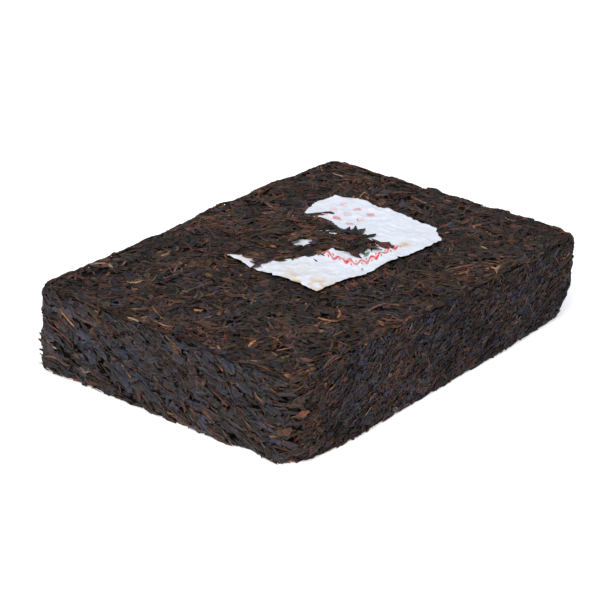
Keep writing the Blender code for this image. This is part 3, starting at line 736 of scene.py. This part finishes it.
def lay_leaves(
    name, rng, bed, form, shares, material, roll=0.16, pitch=0.05, stiff=0.0, limit=None, level=None,
    sizes=None, tints=None
):
    """Lays one leaf shape at each place of a bed, as a joined mesh.

    Each shape is turned in the surface's plane, rolled and pitched a little, and every point is then drawn
    to the nearest point of the uneven block and lifted along the normal there by its own height. A stiff
    leaf stays nearer to the plane of its middle, but not close under the rim. Where level is given, it says
    how high the leaves lie in place of the block.
    """
    leaf = settings(bpy.context, "tea_leaf")
    form = FORMS[form]
    count = len(bed.centres)
    if sizes is None:
        sizes = [size * bed.scale for size in leaf_sizes(rng, count, form)]
    shapes, grain, rim = leaf_shapes(rng, sizes, form)
    x, y, z = np.moveaxis(shapes, -1, 0)
    z = z + x * rng.normal(0, pitch, (count, 1)) + y * rng.normal(0, roll, (count, 1))
    cos, sin = np.cos(bed.heading)[:, None], np.sin(bed.heading)[:, None]
    flat = bed.centres[:, None]
    flat = flat + (x * cos - y * sin)[..., None] * bed.first[:, None]
    flat = flat + (x * sin + y * cos)[..., None] * bed.second[:, None]
    if level is None:
        base, normal = bed_surface(flat)
        height = z + bed.lift[:, None]
        height = np.minimum(height, LEAF_PROUD + PRESSED * (height - LEAF_PROUD))
        placed = base + normal * height[..., None]
        middle, out = bed_surface(bed.centres)
        straight = flat + (middle - bed.centres)[:, None] + out[:, None] * height[..., None]
        free = stiff * np.clip((TOP - bed.centres[:, 2]) / (3 * MM) - 1, 0, 1)
        placed += free[:, None, None] * (straight - placed)
    else:
        placed = flat.copy()
        placed[..., 2] = level(flat) + np.maximum(z + bed.lift[:, None], 0.02 * MM)
    placed = wear_down(placed)
    if limit is not None:
        placed = limit(placed, rng.uniform(0, PAPER_SPARE, (count, 1)))
    placed[..., 2] = np.maximum(placed[..., 2], rng.uniform(0, FOOT_SPARE, (count, 1)))
    if tints is None:
        tints = leaf_tints(rng, count, leaf, shares, bed.centres)
    # Painted highlight: each leaf's rims are lightened towards the rim highlight colour by a random amount
    pale = np.exp(rng.normal(-0.6, 0.8, (count, 1))) * rim
    tints = tints[:, None] + RIM_HIGHLIGHT_SHARE * pale[..., None] * np.array(leaf.rim_highlight)
    tints = np.concatenate((tints, np.ones((*tints.shape[:2], 1))), axis=-1)
    attributes = {"leaf_tint": tints.reshape(-1, 4), "leaf_grain": grain.reshape(-1, 3)}
    triangles = tube_triangles(count, form.rings, len(form.section))
    return new_piece(name, placed.reshape(-1, 3), triangles, material, attributes)


def top_bed(rng, count, seed, facing=1):
    """Places over the top, or the base: turned every way, but more along the rim close to it."""
    at = (spread(count, seed) - 0.5) * 2 * (HALF - EDGE_ROOM)
    heading = rng.uniform(0, math.pi, count)
    room = HALF - np.abs(at)
    along_rim = np.where(room[:, 0] < room[:, 1], math.pi / 2, 0) + rng.normal(0, 0.35, count)
    heading = np.where(room.min(axis=1) < RIM_WIDTH, along_rim, heading)
    lift = -np.abs(rng.normal(0, 0.2 * MM, count)) - 0.1 * MM
    bed = level_bed(*at.T, heading, lift, TOP if facing > 0 else 0.0, facing)
    pits = np.interp(value_noise(bed.centres, 3.5 * MM, 55), PIT_LEVELS, (1, 0))
    return bed._replace(lift=lift - PIT_DEPTH * pits)


def wall_bed(rng, count, seed, ends, scale=1.0):
    """Places on the two end walls with their corners, or on the two side walls: nearly level, as pressing
    leaves them, but dipping towards the corner at -X -Y, and sunk where the layers are cracked."""
    share = HALF[1] / HALF.sum()
    total = int(count / (share if ends else 1 - share))
    u, v = spread(total, seed).T
    line = wall_line(u)
    ahead = wall_line((u + 0.001) % 1) - wall_line((u - 0.001) % 1)
    ahead /= np.linalg.norm(ahead, axis=1, keepdims=True)
    centres = np.column_stack((line, EDGE_ROOM + v * (TOP - 2 * EDGE_ROOM)))
    first = np.column_stack((ahead, np.zeros(total)))
    second = np.tile((0.0, 0.0, 1.0), (total, 1))
    on_side = np.abs(ahead[:, 0]) > 0.9
    steep, sink, gap = (np.where(on_side, *pair) for pair in zip(SIDE_LAYERS, END_LAYERS))
    steep = rng.random(total) < steep
    heading = DIP * (ahead[:, 0] + ahead[:, 1]) + rng.normal(0, np.where(steep, 0.9, 0.25))
    lift = -np.abs(rng.normal(0, sink)) - 0.05 * MM
    lift -= gap * cracks(centres) * (centres[:, 2] < TOP - CRACK_ROOM)
    bed = Bed(centres, first, second, heading, lift, np.full(total, scale))
    return pick(bed, ~on_side if ends else on_side)


def under_paper(placed, spare):
    """Keeps leaves below the ticket: inside its outline and a little past it, none is above its underside."""
    inside = in_outline(placed[..., :2], ticket_outline()) > -TICKET_ROOM
    lid = ticket_height(placed) - TICKET_GAP - spare
    placed[..., 2] = np.where(inside & (placed[..., 2] > lid), lid, placed[..., 2])
    return placed


# Pieces, one operator each.

# The slate leaf's blue-grey is partly painted sheen, and the walls take most of it.
TOP_SHARES = {"black": 0.45, "slate_sheen": 0.12, "umber": 0.26, "russet": 0.15, "amber": 0.02}
END_SHARES = {"black": 0.36, "slate_sheen": 0.48, "umber": 0.11, "russet": 0.05}
SIDE_SHARES = {"black": 0.38, "slate_sheen": 0.48, "umber": 0.11, "russet": 0.03}
BITS_SHARES = {"black": 0.4, "slate_sheen": 0.3, "umber": 0.14, "russet": 0.1, "amber": 0.05, "straw": 0.01}
COVER_SHARES = {"black": 0.36, "slate_sheen": 0.04, "umber": 0.37, "russet": 0.19, "amber": 0.04}


class TEABRICK_OT_core(bpy.types.Operator):
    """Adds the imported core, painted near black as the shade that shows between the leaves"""

    bl_idname = "teabrick.core"
    bl_label = "Pressed Core"
    bl_options = {"REGISTER", "UNDO"}

    def execute(self, context):
        """A closed surface of two parameters: round the outline, and down a profile from the middle of the
        top over the rim and the wall to the middle of the base. Value noise moves it along its normal."""
        wall_depth = settings(context, "tea_leaf").core_depth
        around, down = 480, 130
        line = wall_line(np.arange(around) / around)
        shares = np.linspace(0, 1, down + 2)[1:-1]
        turns = (0, 0.4, 0.6, 1)  # shares of the way down at which the profile turns
        outwards = np.interp(shares, turns, (0, 1, 1, 0))[:, None, None]
        heights = np.interp(shares, turns, (TOP, TOP, 0, 0))[:, None, None]
        points = np.concatenate((line * outwards, np.broadcast_to(heights, (down, around, 1))), axis=-1)
        points = np.concatenate((points.reshape(-1, 3), ((0, 0, TOP), (0, 0, 0))))
        surface, normal = to_block(points)
        surface, _ = bed_surface(surface)
        depth = wall_depth * (1 - 0.4 * np.abs(normal[:, 2])) - noise_sum(surface, CORE_RELIEF) * MM
        depth += CORE_CRACKS * cracks(surface) * np.abs(normal[:, 0])
        depth *= np.clip(0.35 + surface[:, 2] / (4 * MM), 0, 1)
        surface = wear_down(surface - normal * depth[:, None])
        surface = under_paper(surface, 0.6 * MM)
        surface[..., 2] = np.maximum(surface[..., 2], 0.15 * MM)
        triangles = tube_triangles(1, down, around)
        # The core's near-black colour is painted shade for the gaps between the leaves.
        new_piece("pressed_core", surface, triangles, crevice_dust_and_shade(), replaced="tea_brick")
        return {"FINISHED"}


class TEABRICK_OT_top_leaves(bpy.types.Operator):
    """Adds the leaves and crumbs pressed into the top"""

    bl_idname = "teabrick.top_leaves"
    bl_label = "Leaves on Top"
    bl_options = {"REGISTER", "UNDO"}

    def execute(self, context):
        rng = np.random.default_rng(11)
        area = 4 * HALF.prod()
        for name, form, layers, seed in (
            ("top_flakes", "flake", 1.15, 1),
            ("top_strips", "strip", 0.9, 2),
            ("top_crumbs", "crumb", 0.6, 3),
        ):
            bed = top_bed(rng, leaf_count(form, area, layers), seed)
            deep = in_outline(bed.centres[:, :2], ticket_outline()) > 5 * MM
            bed = pick(bed, ~deep)
            lay_leaves(name, rng, bed, form, TOP_SHARES, cured_leaf(), 0.07, 0.03, limit=under_paper)
        return {"FINISHED"}


class TEABRICK_OT_wall_leaves(bpy.types.Operator):
    """Adds the level layers of leaf that show at the walls"""

    bl_idname = "teabrick.wall_leaves"
    bl_label = "Leaves on Walls"
    bl_options = {"REGISTER", "UNDO"}

    def execute(self, context):
        rng = np.random.default_rng(12)
        for name, form, layers, seed, ends, shares in (
            ("end_wall_flakes", "wall_flake", 1.9, 4, True, END_SHARES),
            ("end_wall_strips", "wall_strip", 1.1, 5, True, END_SHARES),
            ("end_wall_crumbs", "crumb", 0.5, 19, True, BITS_SHARES),
            ("side_wall_scraps", "scrap", 1.05, 6, False, SIDE_SHARES),
            ("side_wall_crumbs", "crumb", 1.2, 16, False, SIDE_SHARES),
        ):
            area = 4 * TOP * (HALF[1] if ends else HALF[0])
            bed = wall_bed(rng, leaf_count(form, area, layers), seed, ends)
            material, roll, stiff = (glossy_leaf(), 0.5, 0.6) if ends else (broken_leaf(), 0.2, 0.3)
            lay_leaves(name, rng, bed, form, shares, material, roll=roll, stiff=stiff)
        count = 20  # strips whose tips stick out at the foot of the corner at -X +Y
        sizes = leaf_sizes(rng, count, FORMS["wall_strip"])
        tips = HALF[1] - rng.uniform(2.2, 4, count) * MM
        heights = rng.uniform(1, 13, count) * MM
        centres = np.column_stack((np.full(count, -HALF[0]), tips - sizes[0] / 2, heights))
        along, up = np.tile((0.0, -1.0, 0.0), (count, 1)), np.tile((0.0, 0.0, 1.0), (count, 1))
        bed = Bed(centres, along, up, rng.normal(0, 0.12, count), np.full(count, 0.1 * MM), np.ones(count))
        lay_leaves("corner_strips", rng, bed, "wall_strip", END_SHARES, glossy_leaf(), stiff=1, sizes=sizes)
        return {"FINISHED"}


class TEABRICK_OT_base_leaves(bpy.types.Operator):
    """Adds the leaves pressed flat into the underside"""

    bl_idname = "teabrick.base_leaves"
    bl_label = "Leaves on Base"
    bl_options = {"REGISTER", "UNDO"}

    def execute(self, context):
        rng = np.random.default_rng(13)
        scale = 1.5
        for name, form, layers, seed in (("base_flakes", "flake", 1.3, 7), ("base_strips", "strip", 0.4, 8)):
            bed = top_bed(rng, leaf_count(form, 4 * HALF.prod(), layers, scale), seed, facing=-1)
            bed = bed._replace(scale=bed.scale * scale)
            lay_leaves(name, rng, bed, form, TOP_SHARES, cured_leaf())
        return {"FINISHED"}


def ticket_side(name, steps):
    """One side of the ticket: points evenly spaced along its torn corners, moved outwards by value noise."""
    first, last = TICKET_SIDES[name]
    corners = ticket_outline()
    corners = np.concatenate((corners, corners[:1]))[first : last + 1]
    shares = np.linspace(0, 1, steps)
    line, length = along_line(corners, shares)
    ahead = np.gradient(line, axis=0)
    outward = np.stack((ahead[:, 1], -ahead[:, 0]), axis=1)
    outward /= np.linalg.norm(outward, axis=1, keepdims=True)
    ragged = settings(bpy.context, "paper_ticket").tear * noise_sum(line, TORN_EDGE)
    ends = np.minimum(shares, 1 - shares) * length
    return line + outward * (ragged * np.clip(ends / (1.5 * MM), 0, 1))[:, None]


def ink_cover(points, kind):
    """How far red or green ink covers the paper at each point, by the distance to the printed shapes. The
    soft edges stand for the ink's spread."""
    x, y = points[..., 0] / MM, points[..., 1] / MM
    if kind == "green":
        near = np.max([np.hypot(x - middle[0], y - middle[1]) for middle in GREEN_CIRCLES], axis=0)
        return np.clip(0.5 - (near - GREEN_RADIUS) / INK_EDGE, 0, 1)
    bend = np.stack((LINE_CORNER[0] - x, LINE_CORNER[1] - y), axis=-1)
    line = np.linalg.norm(np.maximum(bend, 0), axis=-1) + np.minimum(bend.max(axis=-1), 0) - LINE_DISTANCE
    turn = 2 * np.pi * (x - y) / LINE_WAVE
    dots = np.hypot(line - 0.9 * np.sin(turn), 1.4 * np.cos(turn)) - DOT_RADIUS
    line = np.minimum(np.abs(line + np.sin(turn)) - LINE_HALF, dots)
    line = np.maximum(line, np.maximum(x - LINE_ENDS[0], y - LINE_ENDS[1]))
    across = np.min([np.abs(x - column) for column in DIAMOND_COLUMNS], axis=0) / DIAMOND_HALF[0]
    along = np.abs((y - 6) % DIAMOND_PITCH - DIAMOND_PITCH / 2) / DIAMOND_HALF[1]
    diamonds = np.maximum(across + along - 1, np.abs(y - 14.2) / (1.5 * DIAMOND_PITCH) - 1)
    faded = np.clip(0.6 + 0.6 * value_noise(points[..., :2], 5 * MM, 31), 0.25, 1)
    return np.maximum(np.clip(0.5 - line / INK_EDGE, 0, 1), np.clip(0.5 - diamonds / 0.15, 0, 1) * faded)


class TEABRICK_OT_ticket(bpy.types.Operator):
    """Adds the torn paper ticket with its print"""

    bl_idname = "teabrick.ticket"
    bl_label = "Paper Ticket"
    bl_options = {"REGISTER", "UNDO"}

    def execute(self, context):
        """A closed sheet of two parameters. Each point is the two straight blends between opposite sides,
        added, less the blend of the four corners. Its height is the ticket's wave with sharp folds and fine
        wrinkles."""
        ticket = settings(context, "paper_ticket")
        columns, rows = 216, 168
        u = np.linspace(0, 1, columns)[:, None, None]
        v = np.linspace(0, 1, rows)[None, :, None]
        front, back = ticket_side("front", columns), ticket_side("back", columns)[::-1]
        right, left = ticket_side("right", rows), ticket_side("left", rows)[::-1]
        flat = left[None] * (1 - u) + right[None] * u + front[:, None] * (1 - v) + back[:, None] * v
        flat = flat - (front[0] * (1 - u) + front[-1] * u) * (1 - v) - (back[0] * (1 - u) + back[-1] * u) * v
        flat = flat.reshape(-1, 2)
        creases = noise_sum(flat, WRINKLES)
        for height, size, seed in FOLDS:
            creases += height * (1 - 2 * np.abs(value_noise(flat, size * MM, seed)))
        middle = np.column_stack((flat, ticket_height(flat) + creases * MM))
        half = np.array((0, 0, ticket.thickness / 2))
        vertices = np.concatenate((middle + half, middle - half))
        total = columns * rows
        upper = grid_triangles(columns, rows, closed=False)
        numbers = np.arange(total).reshape(columns, rows)
        border = np.concatenate((numbers[:, 0], numbers[-1, 1:], numbers[-2::-1, -1], numbers[0, -2:0:-1]))
        after = np.roll(border, -1)
        edges = ((border + total, after + total, after), (border + total, after, border))
        edges = [np.stack(edge, axis=-1) for edge in edges]
        triangles = np.concatenate((upper, upper[:, ::-1] + total, *edges))
        x, y = flat.T / MM
        stain = np.exp(-(((x + 18.5) / 4.5) ** 2)) * np.clip(-y / 9, 0, 1)
        stain += 0.8 * np.exp(-((np.linalg.norm(flat - STAIN_SPOT, axis=1) / (2 * MM)) ** 2))
        stain += 0.18 * np.exp(-(((x + 14) / 9) ** 2))
        stain = np.clip(stain * (0.6 + noise_sum(flat, STAIN_BLOTCHES)), 0, 1)[:, None]
        tint = np.array(ticket.paper) * (1 - stain) + np.array(ticket.stain) * stain
        worn = (0.85 + 0.25 * value_noise(flat, 0.9 * MM, 44))[:, None]
        for ink in ("red", "green"):
            cover = ink_cover(flat, ink)[:, None] * worn
            tint = tint * (1 - cover) + np.array(getattr(ticket, ink + "_ink")) * cover
        tint = np.concatenate((tint, np.tile(ticket.paper, (total, 1))))
        tint = {"paper_tint": np.column_stack((tint, np.ones(2 * total)))}
        paper = rag_paper()
        new_piece("ticket_sheet", vertices, triangles, paper, tint, replaced="paper_ticket")
        return {"FINISHED"}


def cover_level(points):
    """The height that the covering leaves lie on: the ticket within its outline, the brick's top past it."""
    inside = np.clip(in_outline(points[..., :2], ticket_outline()) / (1.5 * MM) + 0.5, 0, 1)
    return np.maximum(ticket_height(points) * inside + TOP * (1 - inside), TOP)


class TEABRICK_OT_cover_leaves(bpy.types.Operator):
    """Adds the mat of leaf over the ticket's back half"""

    bl_idname = "teabrick.cover_leaves"
    bl_label = "Leaves over Ticket"
    bl_options = {"REGISTER", "UNDO"}

    def execute(self, context):
        rng = np.random.default_rng(14)
        outline = np.array(COVER_OUTLINE_MM) * MM
        holes = np.array(COVER_HOLES_MM) * MM
        low, high = outline.min(axis=0), outline.max(axis=0)
        step = 0.2 * MM  # for the slope of the distance to the rim, which runs across the rim
        for name, form, layers, seed, inset, pile in (
            ("cover_leaves", "cover_leaf", 1.2, 9, 1.6, (0.3, 1.2)),
            ("cover_flakes", "flake", 2.6, 10, 1.2, (0.0, 0.5)),
            ("cover_strips", "strip", 1.0, 17, 0.6, (0.3, 1.3)),
        ):
            count = leaf_count(form, np.prod(high - low), layers)
            at = low + spread(count, seed) * (high - low)
            inside = in_outline(at, outline)
            slope = [in_outline(at + offset, outline) - inside for offset in ((step, 0), (0, step))]
            tangent = np.arctan2(slope[0], -slope[1])
            free = COVER_HEADING + rng.normal(0, 0.8, count)
            heading = np.where(inside < COVER_RIM, tangent + rng.normal(0, 0.3, count), free)
            keep = inside > inset * MM
            reach = np.mean(FORMS[form].length) * MM / 2
            along = np.stack((np.cos(heading), np.sin(heading)), axis=1)
            for hole in holes:
                gap = hole[:2] - at
                near = np.clip((gap * along).sum(axis=1), -reach, reach)
                off = np.linalg.norm(gap - near[:, None] * along, axis=1)
                keep &= off > hole[2] + np.mean(FORMS[form].width) * MM / 2
            thick = np.clip(inside / COVER_SLOPE, 0, 1)
            lift = 0.3 * MM + rng.uniform(*pile, count) * thick * MM
            bed = pick(level_bed(*at.T, heading, lift), keep)
            lay_leaves(name, rng, bed, form, COVER_SHARES, cured_leaf(), 0.12, 0.03, level=cover_level)
        for name, form, places, lift in (
            ("cover_edge_leaves", "cover_leaf", EDGE_LEAVES_MM, 0.5 * MM),
            ("paper_specks", "crumb", SPECKS_MM, 0.35 * MM),
        ):
            x, y, length, width, turn = np.array(places).T
            bed = level_bed(x * MM, y * MM, np.radians(turn), lift + rng.uniform(0, 0.25 * MM, len(x)))
            sizes = (length * MM, width * MM, leaf_sizes(rng, len(x), FORMS[form])[2])
            lay_leaves(
                name, rng, bed, form, COVER_SHARES, cured_leaf(), 0.12, 0.02, level=cover_level, sizes=sizes
            )
        return {"FINISHED"}


class TEABRICK_OT_stalks(bpy.types.Operator):
    """Adds pale stalks and golden tips among the leaves"""

    bl_idname = "teabrick.stalks"
    bl_label = "Stalks and Tips"
    bl_options = {"REGISTER", "UNDO"}

    def execute(self, context):
        rng = np.random.default_rng(15)
        material = woody_stem()
        mix = {"umber": 0.35, "russet": 0.45, "amber": 0.15, "straw": 0.05}
        tips = {"russet": 0.3, "amber": 0.5, "gold": 0.2}
        for name, form, bed, shares in (
            ("top_stalks", "stem", top_bed(rng, 90, 12), mix),
            ("end_wall_stalks", "stem", wall_bed(rng, 50, 13, True), mix),
            ("side_wall_stalks", "stem", wall_bed(rng, 50, 18, False, 0.7), mix),
            ("top_tips", "tip", top_bed(rng, 50, 14), tips),
            ("end_wall_tips", "tip", wall_bed(rng, 20, 15, True), mix),
        ):
            bed = bed._replace(lift=np.abs(bed.lift) * 0.2 - 0.25 * MM)
            bed = pick(bed, in_outline(bed.centres[:, :2], ticket_outline()) < -1.5 * MM)
            lay_leaves(name, rng, bed, form, shares, material, roll=0.1, pitch=0.03, limit=under_paper)
        leaf = settings(context, "tea_leaf")
        places = np.array([mark[:5] for mark in TOP_MARKS_MM])
        x, y, length, width, turn = places.T
        bed = level_bed(x * MM, y * MM, np.radians(turn), -0.15 * MM)
        sizes = (length * MM, width * MM, np.minimum(width, 0.6) * MM)
        tints = np.array([getattr(leaf, mark[5]) for mark in TOP_MARKS_MM])
        given = {"sizes": sizes, "tints": tints}
        lay_leaves("top_marks", rng, bed, "tip", None, material, 0.1, 0.02, limit=under_paper, **given)
        return {"FINISHED"}


class TEABRICK_OT_stage(bpy.types.Operator):
    """Adds the pale floor, soft light and the camera"""

    bl_idname = "teabrick.stage"
    bl_label = "Studio"
    bl_options = {"REGISTER", "UNDO"}

    def execute(self, context):
        studio = settings(context, "tea_studio")
        made, _ = new_material("studio floor, matt painted")
        paint = {"Base Color": (0.9, 0.9, 0.9, 1), "Roughness": 0.9}
        finish_material(made, {**paint, "Emission Color": (1, 1, 1, 1), "Emission Strength": 0.45})
        grid = np.linspace(-4, 4, 5)
        x, y = np.meshgrid(grid, grid, indexing="ij")
        mesh = bpy.data.meshes.new("studio_floor")
        cells = [i * len(grid) + j for i in range(len(grid) - 1) for j in range(len(grid) - 1)]
        faces = [(cell, cell + len(grid), cell + len(grid) + 1, cell + 1) for cell in cells]
        points = np.column_stack((x.ravel(), y.ravel(), np.full(x.size, -0.05 * MM)))
        mesh.from_pydata(points.tolist(), [], faces)
        mesh.materials.append(made)
        new_object("studio_floor", mesh)

        world = bpy.data.worlds.get("studio sky") or bpy.data.worlds.new("studio sky")
        world.use_nodes = True
        background = world.node_tree.nodes["Background"]
        background.inputs["Color"].default_value = (0.93, 0.97, 1.06, 1)
        background.inputs["Strength"].default_value = studio.sky
        context.scene.world = world
        context.scene.view_settings.view_transform = "Standard"

        lamp = bpy.data.lights.new("soft_key", "AREA")
        lamp.shape = "DISK"
        lamp.size = 1.2
        lamp.energy = studio.key
        lamp.color = (1.0, 0.96, 0.9)
        key = new_object("soft_key", lamp)
        key.location = (-1.1, -0.5, 1.35)
        key.rotation_mode = "QUATERNION"
        key.rotation_quaternion = (-key.location).to_track_quat("-Z", "Y")

        camera = new_object("camera", bpy.data.cameras.new("camera"))
        turn, flat = studio.azimuth, math.cos(studio.elevation)
        back = Vector((math.sin(turn) * flat, -math.cos(turn) * flat, math.sin(studio.elevation)))
        camera.location = Vector(studio.aim) + back * studio.distance
        camera.rotation_mode = "QUATERNION"
        camera.rotation_quaternion = (-back).to_track_quat("-Z", "Y")
        camera.data.lens = studio.lens
        camera.data.clip_start = 0.05
        camera.data.clip_end = 20
        context.scene.camera = camera
        return {"FINISHED"}


class TEABRICK_PT_panel(bpy.types.Panel):
    """Lists the pieces of the brick"""

    bl_idname = "TEABRICK_PT_panel"
    bl_label = "Tea Brick"
    bl_space_type = "VIEW_3D"
    bl_region_type = "UI"
    bl_category = "Tea Brick"

    def draw(self, context):
        for piece in PIECES:
            self.layout.operator(piece.bl_idname)
        for group in GROUPS:
            for title in GROUPS[group].__annotations__:
                self.layout.prop(settings(context, group), title)


PIECES = (
    TEABRICK_OT_core,
    TEABRICK_OT_top_leaves,
    TEABRICK_OT_wall_leaves,
    TEABRICK_OT_base_leaves,
    TEABRICK_OT_ticket,
    TEABRICK_OT_cover_leaves,
    TEABRICK_OT_stalks,
    TEABRICK_OT_stage,
)
GROUPS = {"tea_leaf": TeaLeafSettings, "paper_ticket": PaperTicketSettings, "tea_studio": StudioSettings}


def register():
    for group in GROUPS.values():
        bpy.utils.register_class(group)
    for name, group in GROUPS.items():
        setattr(bpy.types.Scene, name, bpy.props.PointerProperty(type=group))
    for piece in (*PIECES, TEABRICK_PT_panel):
        bpy.utils.register_class(piece)


def unregister():
    for piece in (TEABRICK_PT_panel, *reversed(PIECES)):
        bpy.utils.unregister_class(piece)
    for name, group in GROUPS.items():
        delattr(bpy.types.Scene, name)
        bpy.utils.unregister_class(group)


def main():
    register()
    bpy.ops.teabrick.core()
    bpy.ops.teabrick.top_leaves()
    bpy.ops.teabrick.wall_leaves()
    bpy.ops.teabrick.base_leaves()
    bpy.ops.teabrick.ticket()
    bpy.ops.teabrick.cover_leaves()
    bpy.ops.teabrick.stalks()
    bpy.ops.teabrick.stage()


if __name__ == "__main__":
    main()
